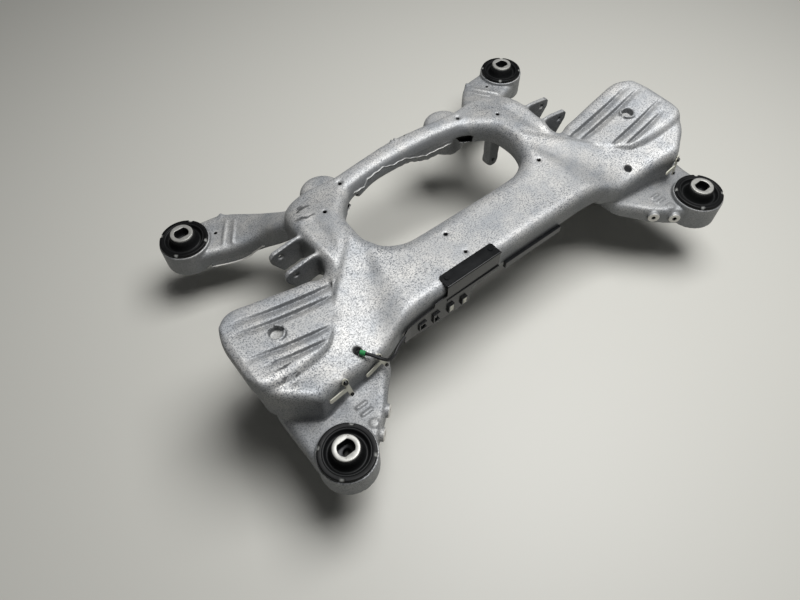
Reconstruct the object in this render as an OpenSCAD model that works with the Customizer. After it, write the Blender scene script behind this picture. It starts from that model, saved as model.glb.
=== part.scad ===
// Rear subframe of a car: one hollow aluminium casting, four body bushes and its cable holders.
// +Z up, +X to the right, +Y to the rear. The origin lies on the ground below the middle of the frame.

/* [Body mounts] */
// Distance between the two front body bolts
front_track = 1052; // [1000:1:1100]
// Distance between the two rear body bolts
rear_track = 1040; // [1000:1:1090]
// Distance from the front bolts to the rear bolts
bush_base = 685; // [650:1:720]
// Height of the front bush flanges above the ground
front_flange_z = 210; // [200:1:225]
// Height of the rear bush flanges above the ground
rear_flange_z = 180; // [170:1:195]

/* [Body bushes] */
// Radius of the bush flange
flange_r = 57; // [54:0.5:60]
// Thickness of the bush flange
flange_t = 8; // [6:0.5:10]
// Outer radius of the bush shell in its eye
shell_r = 50; // [47:0.5:52]
// Wall of the bush shell
shell_wall = 3; // [2:0.5:5]
// Depth of the bush shell below its flange
shell_depth = 56; // [48:1:60]
// Outer radius of the inner sleeve
sleeve_r = 26.5; // [24:0.5:29]
// Height of the inner sleeve above the flange
sleeve_rise = 18; // [12:1:22]
// Radius of the body bolt hole through the sleeve
bolt_r = 8; // [7:0.5:9]
// Length of the oval recess in the top of the sleeve
recess_l = 34; // [30:1:40]
// Width of the oval recess in the top of the sleeve
recess_w = 27; // [22:1:29]
// Depth of the oval recess
recess_d = 24; // [12:1:30]
// Gap of the pressed and bonded fits
press_gap = 0.1; // [0.05:0.05:0.3]

/* [Casting] */
// Height of the front crossmember's deck
deck_z = 286; // [276:1:296]
// Depth of the front crossmember, deck to underside
deck_depth = 68; // [60:1:76]
// Front face of the front crossmember, forward of the origin
deck_front = 212; // [206:1:218]
// Front edge of the middle opening, forward of the origin
open_front = 60; // [54:1:66]
// Rear edge of the middle opening, behind the origin
open_rear = 148; // [140:1:156]
// Half the width of the middle opening
open_half = 226; // [218:1:232]
// Width of the arched rear crossmember
arch_w = 56; // [50:1:62]
// Height of the arched rear crossmember
arch_z = 292; // [282:1:300]
// Depth of the arched rear crossmember
arch_depth = 48; // [42:1:56]
// Height of the side blocks
block_z = 300; // [292:1:306]
// Half the width over the spring seats
seat_half = 606; // [590:1:620]
// Height of the outer end of a spring seat
seat_z = 322; // [312:1:330]
// Wall of the bush eyes
eye_wall = 10; // [8:0.5:12]
// Height of the bush eyes
eye_h = 62; // [60:1:68]

/* [Spring seats] */
// Distance of a spring seat's locating hole from the middle plane
seat_hole_x = 510; // [500:1:520]
// Locating hole, forward of the origin
seat_hole_y = 99; // [92:1:106]
// Radius of the locating hole
seat_hole_r = 14; // [10:0.5:16]
// Depth of the grooves in the spring seats
groove_d = 8; // [3:0.5:9]
// Width of the grooves
groove_w = 19; // [12:0.5:20]

/* [Link ears] */
// Distance of the upper link bolts from the middle plane
ear_x = 395; // [388:1:402]
// Upper link bolts, behind the origin
ear_y = 50; // [46:1:54]
// Height of the upper link bolts
ear_z = 269; // [262:1:274]
// Gap between the two ears of a link
ear_gap = 52; // [44:1:58]
// Thickness of the ears
ear_t = 10; // [8:0.5:12]
// Radius of the link bolt holes
link_bolt_r = 6; // [5:0.5:7]
// Distance of the lower link bolts from the middle plane
foot_x = 498; // [490:1:504]
// Lower front link, forward of the origin
foot_front = 75; // [70:1:78]
// Lower rear link, behind the origin
foot_rear = 25; // [22:1:30]
// Height of the lower link bolts, and the radius of their ears
foot_z = 25; // [22:1:28]

/* [Cable holders] */
// Thickness of the moulded bracket
bracket_t = 2.6; // [2:0.2:4]
// Gap between the moulded holders and the casting
holder_gap = 0.4; // [0.2:0.1:0.8]
// Outer end of the bracket's cap
cap_out = 178; // [172:1:184]
// Inner end of the bracket's cap
cap_in = 31; // [26:1:36]
// Depth of the cap on the deck
cap_depth = 26; // [22:1:30]
// Radius of the rivet heads
rivet_r = 6; // [5:0.5:8]
// Radius of the plug stems
stem_r = 2.6; // [2:0.1:3.5]
// Radius of the plug heads
plug_r = 5.5; // [4.5:0.5:7]
// Thickness of the edge clips
clip_t = 2.6; // [2:0.2:3.5]
// Radius of the sensor lead
lead_r = 3.4; // [2.5:0.1:4.5]

/* [Hidden] */
$fn = 48;
fx = front_track / 2;
fy = -bush_base / 2;
rx = rear_track / 2;
ry = bush_base / 2;
eye_r = shell_r + eye_wall;
front_eye_z = front_flange_z - flange_t;
rear_eye_z = rear_flange_z - flange_t;
deck_under = deck_z - deck_depth;
ff = -deck_front;
of = -open_front;
arm_top = front_eye_z - 10;

// Height of a spring seat along its length
seat_line = [[306, 266], [345, 276], [385, 280], [440, 287], [510, 300], [560, 314], [592, seat_z - 1], [606, seat_z - 6]];

// Places of the edge clips: x, y, height, lean and swing of the seat they are plugged to
clip_head = 38;
clip_left_outer = [-459, -244.6, 261.8, 75, 0];
clip_left_inner = [-373, -233, 248, 80, 0];
clip_right = [515, -256, 259, 82, 8];
pad_r = 8;
pad_h = 5;

// Value between the middle two of four stations on a smooth curve through all of them
function through(a, b, c, d, t) =
    0.5 * (2 * b + (c - a) * t + (2 * a - 5 * b + 4 * c - d) * t * t + (3 * b - a - 3 * c + d) * t * t * t);

// Stations of a limb, with steps made between each pair of the given ones
function stations(keys, steps) =
    let (last = len(keys) - 1)
    [for (i = [0 : last - 1], j = [0 : steps - 1])
        through(keys[max(i - 1, 0)], keys[i], keys[i + 1], keys[min(i + 2, last)], j / steps),
     keys[last]];

// Points of a standing section: two upright edges in plan, each with its own top, bottom and top radius.
// A station is [x, y, top, bottom, top radius] of one edge, the same of the other, then the bottom radius.
function ring(s, arc = 3, across = 3) =
    let (
        w = norm([s[5] - s[0], s[6] - s[1]]),
        r1 = min(s[4], w / 2 - 1),
        r2 = min(s[9], w / 2 - 1),
        rb = min(s[10], w / 2 - 1),
        corners = [
            [r1, s[2] - r1, r1, 180], [w - r2, s[7] - r2, r2, 90],
            [w - rb, s[8] + rb, rb, 0], [rb, s[3] + rb, rb, -90]],
        outline = [for (c = corners, k = [0 : arc])
            let (angle = c[3] - 90 * k / arc, along = (c[0] + c[2] * cos(angle)) / w)
            [s[0] + (s[5] - s[0]) * along, s[1] + (s[6] - s[1]) * along, c[1] + c[2] * sin(angle)]])
    [for (i = [0 : len(outline) - 1])
        each (i == arc
            ? [for (k = [0 : across - 1]) outline[i] + (outline[i + 1] - outline[i]) * k / across]
            : [outline[i]])];

// Triangles of a skin over m rings of n points, joined end to end where the limb closes on itself
function skin_faces(m, n, closed) =
    [for (i = [0 : closed ? m - 1 : m - 2], j = [0 : n - 1])
        let (
            k = (i + 1) % m,
            a = i * n + j,
            b = i * n + (j + 1) % n,
            c = k * n + j,
            d = k * n + (j + 1) % n)
        each [[a, b, d], [a, d, c]]];

// A limb of the casting: a skin over standing sections that follow each other, with flat ends
module limb(keys, steps = 3) {
    sections = stations(keys, steps);
    rings = [for (s = sections) ring(s)];
    m = len(rings);
    n = len(rings[0]);
    first_end = [[for (j = [0 : n - 1]) n - 1 - j]];
    last_end = [[for (j = [0 : n - 1]) (m - 1) * n + j]];
    polyhedron([for (r = rings) each r], concat(skin_faces(m, n, false), first_end, last_end));
}

// A limb that closes on itself round the middle opening
module hoop(keys, steps = 3) {
    last = len(keys) - 1;
    sections = [for (i = [0 : last], j = [0 : steps - 1])
        through(keys[(i + last) % (last + 1)], keys[i], keys[(i + 1) % (last + 1)], keys[(i + 2) % (last + 1)],
            j / steps)];
    rings = [for (s = sections) ring(s)];
    polyhedron([for (r = rings) each r], skin_faces(len(rings), len(rings[0]), true));
}

module both_sides() {
    children();
    mirror([1, 0, 0]) children();
}

function flipped(s) = [-s[0], s[1], s[2], s[3], s[4], -s[5], s[6], s[7], s[8], s[9], s[10]];

rim_under = deck_under + 20;
hoop_right = [
    [110, ff, deck_z, deck_under, 20, 110, of, deck_z - 2, rim_under, 30, 10],
    [176, ff - 1, deck_z, deck_under, 20, 166, of + 3, deck_z, rim_under, 30, 10],
    [246, ff - 1, deck_z - 1, deck_under, 22, 207, of + 24, deck_z + 4, rim_under, 32, 10],
    [306, ff - 8, deck_z - 8, deck_under, 24, 222, of + 48, deck_z + 8, rim_under, 34, 10],
    [352, ff - 20, deck_z - 27, deck_under, 26, open_half + 2, of + 66, block_z - 6, rim_under, 36, 10],
    [406, ff + 16, deck_z - 20, deck_under, 24, open_half + 4, of + 80, block_z - 4, rim_under, 36, 10],
    [424, -146, block_z - 25, deck_under, 26, open_half + 4, of + 92, block_z, rim_under, 36, 10],
    [380, -88, block_z - 21, deck_under, 26, open_half + 4, of + 104, block_z, rim_under, 36, 10],
    [346, -38, block_z - 5, deck_under, 24, open_half + 3, of + 116, block_z, rim_under, 36, 10],
    [338, 30, block_z + 2, deck_under, 20, open_half, of + 132, block_z, rim_under, 34, 10],
    [344, 112, block_z + 2, deck_under, 24, open_half - 12, of + 152, block_z - 2, rim_under, 30, 10],
    [324, 178, block_z - 10, deck_under, 28, open_half - 36, open_rear - 32, block_z - 6, rim_under - 8, 26, 10],
    [258, 197, block_z - 12, arch_z - 76, 18, open_half - 60, open_rear - 19, arch_z, arch_z - 62, 34, 10],
    [190, 186, arch_z, arch_z - 54, 14, 128, open_rear - 11, arch_z, arch_z - 50, 34, 8],
    [112, open_rear + arch_w - 9, arch_z, arch_z - arch_depth, 14, 84, open_rear - 4, arch_z,
        arch_z - arch_depth + 4, 30, 8]];
hoop_keys = concat(
    [[0, ff, deck_z, deck_under, 20, 0, of, deck_z - 2, rim_under, 30, 10]],
    hoop_right,
    [[0, open_rear + arch_w, arch_z, arch_z - arch_depth, 14, 0, open_rear, arch_z, arch_z - arch_depth, 28, 8]],
    [for (i = [len(hoop_right) - 1 : -1 : 0]) flipped(hoop_right[i])]);

// Spring seat: x, front edge, rear edge and underside
seat_plan = [
    [306, -54, -26, 240], [345, -84, -21, 234], [385, -128, -17, 229], [420, -162, -14, 227], [452, -182, -10, 226],
    [510, -195, -5, 226], [560, -201, -6, 230], [592, -194, -30, 244], [seat_half, -166, -68, 276]];
seat_right = [for (p = seat_plan)
    let (top = lookup(p[0], seat_line))
    [p[0], p[1], top - 1, p[3], 18, p[0], p[2], top + 1, p[3] + 1, 13, 8]];

// Saddle in front of the spring seat, with its crest along the first edge
saddle_right = [
    [300, ff - 6, 268, 204, 20, 300, -120, 268, 204, 14, 10],
    [345, ff - 23, 256, 200, 20, 345, -120, 272, 200, 14, 10],
    [386, ff - 27, 256, 192, 20, 386, -122, 278, 192, 14, 10],
    [450, ff - 33, 268, 182, 20, 450, -130, 280, 182, 10, 10],
    [490, ff - 40, 278, 180, 20, 486, -130, 281, 180, 10, 10],
    [518, ff - 46, 287, 180, 20, 520, -130, 286, 180, 10, 10],
    [546, ff - 28, 296, 182, 20, 552, -128, 296, 182, 10, 10],
    [574, ff - 8, 303, 190, 20, 578, -124, 306, 190, 10, 10],
    [seat_half - 8, ff + 22, 307, 208, 18, seat_half - 8, -116, 308, 208, 12, 10]];

arm_right = [
    [330, -172, 222, 176, 12, 580, -150, 226, 176, 12, 10],
    [fx - 182, fy + 104, arm_top + 8, 160, 16, fx + 62, fy + 150, arm_top + 10, 160, 14, 10],
    [fx - 150, fy + 70, arm_top, 150, 14, fx + 61, fy + 92, arm_top, 150, 14, 10],
    [fx - 106, fy + 23, arm_top, 145, 14, fx + 59, fy + 50, arm_top, 145, 14, 10],
    [fx - 64, fy - 10, arm_top, 143, 14, fx + 57, fy + 10, arm_top, 143, 14, 10],
    [fx - 26, fy - 34, arm_top, 143, 14, fx + 34, fy - 20, arm_top, 143, 14, 10]];

rear_arm_right = [
    [322, 150, 262, 206, 18, 232, 166, 262, 206, 18, 10],
    [350, 196, 226, 158, 18, 276, 226, 222, 158, 22, 10],
    [374, ry - 108, 186, rear_eye_z - eye_h + 13, 18, 338, ry - 34, 180, rear_eye_z - eye_h + 13, 16, 10],
    [rx - 88, ry - 87, rear_eye_z - 7, rear_eye_z - eye_h + 7, 16,
     rx - 114, ry + 30, rear_eye_z - 8, rear_eye_z - eye_h + 7, 12, 10],
    [rx - 40, ry - 71, rear_eye_z - 8, rear_eye_z - eye_h + 6, 14,
     rx - 50, ry + 42, rear_eye_z - 9, rear_eye_z - eye_h + 6, 12, 10],
    [rx + 8, ry - eye_r + 3, rear_eye_z - 8, rear_eye_z - eye_h + 6, 14,
     rx + 6, ry + eye_r - 3, rear_eye_z - 8, rear_eye_z - eye_h + 6, 14, 10]];

// Valley between each block and its shoulder, a wide shallow flute that runs out at both ends:
// x and y of its middle line, its direction, and its depth below the block's face
valley_w = 84;
valley_line = [
    [290, 168, 100, -8], [294, 110, 90, 3], [297, 60, 88, 5], [302, 8, 76, 5],
    [318, -30, 58, 10], [350, -80, 52, 15], [376, -116, 50, 14], [398, -146, 50, 8]];
valley_right = [for (p = valley_line)
    let (reach = valley_w / 2 * [sin(p[2]), -cos(p[2])])
    [p[0] - reach[0], p[1] - reach[1], block_z + 60, block_z - p[3], 2,
     p[0] + reach[0], p[1] + reach[1], block_z + 60, block_z - p[3], 2, valley_w / 2 - 2]];

module skin() {
    hoop(hoop_keys);
    both_sides() {
        limb(seat_right);
        limb(saddle_right);
        limb(arm_right);
        limb(rear_arm_right);
    }
}

// A saw-tooth groove along a spring seat, deepest nearer its inner end, with a sloped rear wall
groove_wall = 7;

module groove(from_x, from_y, to_x, to_y) {
    count = 8;
    rings = [for (i = [0 : count])
        let (
            x = from_x + (to_x - from_x) * i / count,
            y = from_y + (to_y - from_y) * i / count,
            z = lookup(x, seat_line),
            deep = (groove_d + 2) * pow(sin(180 * pow(i / count, 0.75)), 0.7) - 2)
        [[x, y - groove_w, z + 3], [x, y + groove_wall, z + 3], [x, y, z - deep]]];
    ends = [[2, 1, 0], [3 * count, 3 * count + 1, 3 * count + 2]];
    polyhedron([for (r = rings) each r], concat(skin_faces(count + 1, 3, false), ends));
}

// A plate across the frame, drawn in the XZ plane, with its middle at a given y
module cross_plate(y) {
    translate([0, y + ear_t / 2, 0]) rotate([90, 0, 0]) linear_extrude(ear_t) children();
}

// Two such plates with the width of a link between them
module link_ears(y) {
    for (side = [-1, 1]) cross_plate(y + side * (ear_gap + ear_t) / 2) children();
}

module link_bore(x, y, z) {
    translate([x, y + ear_gap / 2 + ear_t + 1, z])
    rotate([90, 0, 0])
    cylinder(r = link_bolt_r, h = ear_gap + 2 * ear_t + 2);
}

module upper_ear() {
    polygon([
        [318, block_z - 8], [350, block_z - 4], [ear_x + 16, ear_z + 17], [ear_x + 24, ear_z + 8],
        [ear_x + 24, ear_z - 8], [ear_x, ear_z - 48], [340, 226], [318, 226]]);
}

module foot_end() {
    polygon([
        [foot_x - foot_z, foot_z], [foot_x + foot_z, foot_z], [foot_x + foot_z + 4, 100], [foot_x - foot_z - 16, 100]]);
    translate([foot_x, foot_z]) circle(r = foot_z);
}

module foot_rib() {
    polygon([[foot_x - 92, 246], [foot_x + 46, 246], [foot_x + foot_z + 4, 98], [foot_x - foot_z - 16, 98]]);
}

// Lower front link: both plates rise to the spring seat
module front_foot() {
    link_ears(-foot_front) {
        foot_end();
        foot_rib();
    }
}

// Lower rear link: the front plate rises to the seat, the rear one hangs from a web
module rear_foot() {
    link_ears(foot_rear) foot_end();
    cross_plate(foot_rear - (ear_gap + ear_t) / 2) foot_rib();
    translate([foot_x - foot_z - 14, foot_rear - ear_gap / 2 - 1, 84])
        cube([2 * foot_z + 16, ear_gap + 2, 14]);
}

// Seat of an edge clip on the ramp; the child is drawn from its face outwards
module on_ramp(place) {
    translate([place[0], place[1], place[2]]) rotate([place[3], 0, place[4]]) children();
}

module clip_pad() {
    translate([0, 0, -16]) cylinder(r = pad_r, h = 16 + pad_h);
}

module clip_pad_hole() {
    translate([0, 0, pad_h - 9]) cylinder(r = stem_r + press_gap, h = 10);
}

// Machined bosses on the inner wall of a front arm: middle of the wall under each
wall_bosses = [[fx - 118, fy + 30, 173], [fx - 80, fy - 3, 172]];
boss_r = 14;
boss_bore = 4.5;

module on_arm_wall(place) {
    translate(place) rotate([0, 0, 228]) rotate([0, 90, 0]) children();
}

// Stiffening ridges across a rear arm: middle of each on the top of the arm, and its length
arm_ridges = [[rx - 91, ry - 30, rear_eye_z - 8, 84], [rx - 110, ry - 42, rear_eye_z - 5, 82]];

module on_rear_arm(place) {
    translate([place[0], place[1], place[2]]) rotate([0, 0, 125]) children();
}

// Spot faces round the two larger holes on each side
spot_r = 9;

// Small drilled holes in the top of the casting: x, y and height of the face
drilled = [
    [-87, -105, deck_z], [-86, -169, deck_z], [229, -73, deck_z + 6], [36, 196, arch_z]];

// Pot of the rear drive mount behind the arch: closed and domed above, bored from below
pot_place = [195, 224, 162];
pot_r = 56;
pot_bore = 34;
pot_h = 50;
pot_dome = 20;

module rear_pot() {
    translate(pot_place)
    rotate_extrude()
    polygon(concat(
        [[0, 0], [pot_r, 0]],
        [for (a = [0 : 15 : 75]) [pot_r - pot_dome * (1 - cos(a)), pot_h + pot_dome * sin(a)]],
        [[0, pot_h + pot_dome]]));
}

module cast_marks() {
    for (ahead = [61, 43]) translate([fx - 92, fy + ahead, arm_top - 3]) cube([25, 6, 6]);
    translate([fx - 77, fy + 19, arm_top - 3]) cylinder(r = 9, h = 5.5);
    for (place = wall_bosses) on_arm_wall(place) translate([0, 0, -14]) cylinder(r = boss_r, h = 18.5);
    for (place = arm_ridges) on_rear_arm(place) translate([-place[3] / 2, -3, -12]) cube([place[3], 6, 14.5]);
    translate([rx - 110, ry + 26, rear_eye_z - 40]) cylinder(r = 6, h = 35);
    rear_pot();
    translate([240, 90, 150]) rotate([-90, 0, 0]) linear_extrude(26) polygon([[0, 0], [32, 0], [40, -100], [-6, -100]]);
    translate([256, 90, 158]) rotate([-90, 0, 0]) cylinder(r = 20, h = 26);
}

module frame_bores() {
    translate([fx, fy, front_eye_z - eye_h - 15]) cylinder(r = shell_r + press_gap, h = eye_h + 30);
    translate([rx, ry, rear_eye_z - eye_h - 15]) cylinder(r = shell_r + press_gap, h = eye_h + 30);
    link_bore(ear_x, ear_y, ear_z);
    link_bore(foot_x, -foot_front, foot_z);
    link_bore(foot_x, foot_rear, foot_z);
    translate([seat_hole_x, -seat_hole_y, lookup(seat_hole_x, seat_line) - 12]) cylinder(r = seat_hole_r, h = 40);
    translate([seat_hole_x - seat_hole_r - 5, -seat_hole_y - 4, lookup(seat_hole_x, seat_line) - 12]) cube([10, 8, 40]);
    translate([400, -208, 236]) cylinder(r = 9, h = 50);
    translate([180, 160, arch_z - 14]) cylinder(r = 4.5, h = 30);
    translate([180, 160, arch_z - 3]) cylinder(r = spot_r, h = 20);
    translate([260, 102, block_z - 14]) cylinder(r = 4.5, h = 30);
    translate([260, 102, block_z - 2]) cylinder(r = spot_r, h = 20);
    for (place = wall_bosses) on_arm_wall(place) translate([0, 0, -8]) cylinder(r = boss_bore, h = 24);
    translate([rx - 71, ry - 18, rear_eye_z - 20]) cylinder(r = 3, h = 30);
    translate(pot_place - [0, 0, 12]) cylinder(r = pot_bore, h = pot_h);
    translate([256, 80, 158]) rotate([-90, 0, 0]) cylinder(r = link_bolt_r, h = 46);
    translate([168, 118, 233]) rotate([0, 0, -24]) translate([-26, -14, 0]) cube([52, 44, 22]);
    groove(338, -58, 578, -39);
    groove(356, -82, 592, -65);
    groove(398, -142, 596, -127);
    groove(420, -166, 582, -155);
}

module frame_casting() {
    color("silver")
    difference() {
        union() {
            skin();
            both_sides() {
                translate([fx, fy, front_eye_z - eye_h]) cylinder(r = eye_r, h = eye_h);
                translate([rx, ry, rear_eye_z - eye_h]) cylinder(r = eye_r, h = eye_h);
                link_ears(ear_y) upper_ear();
                front_foot();
                rear_foot();
                translate([seat_hole_x, -seat_hole_y, 270])
                    cylinder(r = seat_hole_r + 6, h = lookup(seat_hole_x, seat_line) - 268);
                cast_marks();
            }
            for (x = [-3, 7]) translate([x, open_rear + arch_w - 14, arch_z - 6]) cube([5, 11, 7.5]);
            on_ramp(clip_left_outer) clip_pad();
            on_ramp(clip_left_inner) clip_pad();
            on_ramp(clip_right) clip_pad();
        }
        both_sides() {
            frame_bores();
            limb(valley_right);
        }
        for (p = drilled) translate([p[0], p[1], p[2] - 12]) cylinder(r = 3.5, h = 30);
        on_ramp(clip_left_outer) clip_pad_hole();
        on_ramp(clip_left_inner) clip_pad_hole();
        on_ramp(clip_right) clip_pad_hole();
    }
}

// Flanged shell of a body bush: four notches in the flange
module bush_shell() {
    color("dimgray")
    difference() {
        rotate_extrude()
        polygon([
            [shell_r - shell_wall, -flange_t - shell_depth], [shell_r, -flange_t - shell_depth],
            [shell_r, -flange_t + press_gap], [flange_r, -flange_t + press_gap], [flange_r, -1.5],
            [flange_r - 1.5, 0], [shell_r + 0.5, 0], [shell_r - shell_wall, -3]]);
        for (turn = [45 : 90 : 315])
            rotate(turn) translate([flange_r - 6, -3, -3]) cube([10, 6, 8]);
    }
}

module bush_rubber() {
    color("black")
    rotate_extrude()
    polygon([
        [sleeve_r + press_gap, -flange_t - shell_depth + 6],
        [shell_r - shell_wall - press_gap, -flange_t - shell_depth + 6],
        [shell_r - shell_wall - press_gap, -3], [shell_r - shell_wall - 3.5, -2.5], [shell_r - shell_wall - 6, -8],
        [sleeve_r + 10, -11], [sleeve_r + 6, -2], [sleeve_r + 3, sleeve_rise - 7],
        [sleeve_r + press_gap, sleeve_rise - 3.5]]);
}

module bush_sleeve() {
    color("gainsboro")
    difference() {
        translate([0, 0, -flange_t - shell_depth]) cylinder(r = sleeve_r, h = flange_t + shell_depth + sleeve_rise);
        translate([0, 0, -flange_t - shell_depth - 1]) cylinder(r = bolt_r, h = 120);
        translate([0, 0, sleeve_rise - recess_d]) {
            intersection() {
                translate([-recess_l, -recess_w / 2, 0]) cube([2 * recess_l, recess_w, recess_d + 1]);
                cylinder(r = recess_l / 2, h = recess_d + 1);
            }
        }
    }
}

// Front face of the crossmember in plan, moved forward by a gap, between two x values of the left half
function face_line(from_x, to_x, gap) =
    let (count = 12)
    [for (i = [0 : count])
        let (x = from_x + (to_x - from_x) * i / count)
        [x, lookup(abs(x), [[0, ff], [176, ff - 1], [246, ff - 2], [276, ff - 4], [306, ff - 9], [322, ff - 14]]) - gap]];

module face_strip(from_x, to_x, gap, t) {
    polygon(concat(face_line(from_x, to_x, gap), face_line(to_x, from_x, gap + t)));
}

cap_z = deck_z + holder_gap;

// Slots in the bracket: x, height of the lower edge, width and height; the first two hold clips
bracket_slots = [[-134, 196, 9, 16], [-172, 200, 10, 18], [-214, 200, 12, 22], [-252, 206, 14, 16]];

module bracket_outline() {
    difference() {
        polygon([
            [-cap_in, cap_z + bracket_t], [-cap_out, cap_z + bracket_t], [-cap_out, 258], [-212, 256], [-214, 246],
            [-288, 240], [-296, 232], [-296, 200], [-250, 192], [-196, 182], [-112, 180], [-104, 226], [-cap_in, 232]]);
        for (slot = bracket_slots) translate([slot[0], slot[1]]) square([slot[2], slot[3]]);
    }
}

cap_front = ff - 5.5 - holder_gap;
cap_corner = 7;
roll_r = 2.4;
hook_w = 3;
hook_proud = 6;

module cap_plate() {
    translate([0, 0, cap_z])
    linear_extrude(bracket_t)
    union() {
        translate([-cap_out, cap_front]) square([cap_out - cap_in, ff + cap_depth - cap_corner - cap_front]);
        translate([-cap_out + cap_corner, cap_front])
            square([cap_out - cap_in - 2 * cap_corner, ff + cap_depth - cap_front]);
        for (x = [-cap_out + cap_corner, -cap_in - cap_corner])
            translate([x, ff + cap_depth - cap_corner]) circle(r = cap_corner);
    }
    translate([-cap_out, cap_front, cap_z + bracket_t - 1])
        rotate([0, 90, 0]) cylinder(r = roll_r, h = cap_out - cap_in);
}

// Hook that stands out round a slot, open on its inner side
module slot_hook(slot) {
    translate([slot[0] - hook_w, ff - 3 - holder_gap - bracket_t - hook_proud, slot[1] - hook_w])
    difference() {
        cube([slot[2] + 2 * hook_w, hook_proud + 1, slot[3] + 2 * hook_w]);
        translate([hook_w, -1, hook_w]) cube([slot[2] + 2 * hook_w, hook_proud + 3, slot[3]]);
    }
}

module cable_bracket() {
    color("black")
    difference() {
        union() {
            intersection() {
                translate([0, 0, 150]) linear_extrude(160) face_strip(-300, -cap_in, 3 + holder_gap, bracket_t);
                rotate([90, 0, 0]) linear_extrude(300) bracket_outline();
            }
            cap_plate();
            translate([-cap_out, ff - 9, 240]) cube([cap_out - cap_in, 4, 4]);
            for (slot = bracket_slots) slot_hook(slot);
        }
        for (x = [-cap_out + 13, -cap_in - 13])
            translate([x, ff + 13, cap_z - 1]) cylinder(r = stem_r + press_gap, h = 10);
    }
}

module bracket_rivets() {
    color("dimgray")
    for (x = [-cap_out + 13, -cap_in - 13])
        translate([x, ff + 13, cap_z + 0.2]) {
            cylinder(r = stem_r, h = bracket_t + 1);
            translate([0, 0, bracket_t - 0.2 + press_gap]) cylinder(r1 = rivet_r, r2 = rivet_r - 1.5, h = 1.6);
        }
}

module bracket_clips() {
    color("white") {
        for (slot = [bracket_slots[0], bracket_slots[1]])
            translate([slot[0] + press_gap, ff - 12 - holder_gap, slot[1] + press_gap])
            cube([slot[2] - 2 * press_gap, 11, slot[3] - 2 * press_gap]);
    }
}

module cable_duct() {
    color("darkslategray")
    translate([0, 0, deck_under - 3])
    linear_extrude(17)
    face_strip(-8, 164, holder_gap, 8);
}

// T-shaped edge clip lying on its seat, the tongue along the ramp
module edge_clip(turn) {
    color("beige")
    translate([0, 0, pad_h + press_gap])
    difference() {
        union() {
            rotate(turn) {
                translate([-4.5, -clip_head - 4, 0]) cube([9, clip_head + 10, clip_t]);
                translate([-40, -clip_head / 2 - 4.5, 0]) cube([38, 9, clip_t]);
                translate([-40, -clip_head / 2, 0]) cylinder(r = 4.5, h = clip_t);
                translate([0, 6, 0]) cylinder(r = 4.5, h = clip_t);
            }
            cylinder(r = pad_r - 1, h = clip_t);
        }
        translate([0, 0, -1]) cylinder(r = stem_r + press_gap, h = 6);
        rotate(turn) translate([0, -clip_head, -1]) cylinder(r = stem_r + press_gap, h = 6);
    }
}

module push_plugs(turn) {
    color("black") {
        translate([0, 0, pad_h - 8]) cylinder(r = stem_r, h = 8 + 2 * press_gap + clip_t);
        translate([0, 0, pad_h + 2 * press_gap + clip_t]) cylinder(r1 = plug_r, r2 = plug_r - 1.5, h = 4);
        rotate(turn) translate([0, -clip_head, pad_h + 2 * press_gap + clip_t]) cylinder(r = 3.6, h = 3);
        rotate(turn) translate([0, -clip_head, pad_h]) cylinder(r = stem_r, h = 2 * press_gap + clip_t + 0.5);
    }
}

lead_path = [
    [-404, -208, 240], [-404, -210, 256], [-401, -216, 267], [-392, -229, 268], [-383, -240, 265],
    [-371, -254, 258], [-358, -258, 248], [-342, -251, 240], [-322, -239, 238], [-300, -231, 239]];

function cross_ring(at, along, r, n) =
    let (
        w = along / norm(along),
        u = cross(w, [0.3, 0.9, 0.2]),
        p = u / norm(u),
        q = cross(w, p))
    [for (k = [0 : n - 1]) at + r * (cos(360 * k / n) * p + sin(360 * k / n) * q)];

module sensor_lead() {
    steps = 3;
    n = 10;
    points = stations(lead_path, steps);
    last = len(points) - 1;
    rings = [for (i = [0 : last])
        cross_ring(points[i], points[min(i + 1, last)] - points[max(i - 1, 0)], lead_r, n)];
    first_end = [[for (j = [0 : n - 1]) n - 1 - j]];
    last_end = [[for (j = [0 : n - 1]) last * n + j]];
    color("black")
    polyhedron([for (r = rings) each r], concat(skin_faces(last + 1, n, false), first_end, last_end));
}

module lead_band() {
    from = lead_path[2];
    along = lead_path[3] - lead_path[2];
    color("green")
    translate(from + along * 0.15)
    rotate([0, acos(along[2] / norm(along)), atan2(along[1], along[0])])
    difference() {
        cylinder(r = lead_r + 1.9, h = norm(along) * 0.7);
        translate([0, 0, -1]) cylinder(r = lead_r + 0.95, h = norm(along) + 2);
    }
}

frame_casting();
translate([-fx, fy, front_flange_z]) bush_shell();  // bush_shell_front_left
translate([-fx, fy, front_flange_z]) bush_rubber();  // bush_rubber_front_left
translate([-fx, fy, front_flange_z]) bush_sleeve();  // bush_sleeve_front_left
translate([fx, fy, front_flange_z]) bush_shell();  // bush_shell_front_right
translate([fx, fy, front_flange_z]) bush_rubber();  // bush_rubber_front_right
translate([fx, fy, front_flange_z]) bush_sleeve();  // bush_sleeve_front_right
translate([-rx, ry, rear_flange_z]) bush_shell();  // bush_shell_rear_left
translate([-rx, ry, rear_flange_z]) bush_rubber();  // bush_rubber_rear_left
translate([-rx, ry, rear_flange_z]) bush_sleeve();  // bush_sleeve_rear_left
translate([rx, ry, rear_flange_z]) bush_shell();  // bush_shell_rear_right
translate([rx, ry, rear_flange_z]) bush_rubber();  // bush_rubber_rear_right
translate([rx, ry, rear_flange_z]) bush_sleeve();  // bush_sleeve_rear_right
cable_bracket();
bracket_rivets();
bracket_clips();
cable_duct();
on_ramp(clip_left_outer) edge_clip(7);  // edge_clip_left_outer
on_ramp(clip_left_inner) edge_clip(20);  // edge_clip_left_inner
on_ramp(clip_right) edge_clip(-6);  // edge_clip_right
on_ramp(clip_left_outer) push_plugs(7);  // push_plugs_left_outer
on_ramp(clip_left_inner) push_plugs(20);  // push_plugs_left_inner
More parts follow.
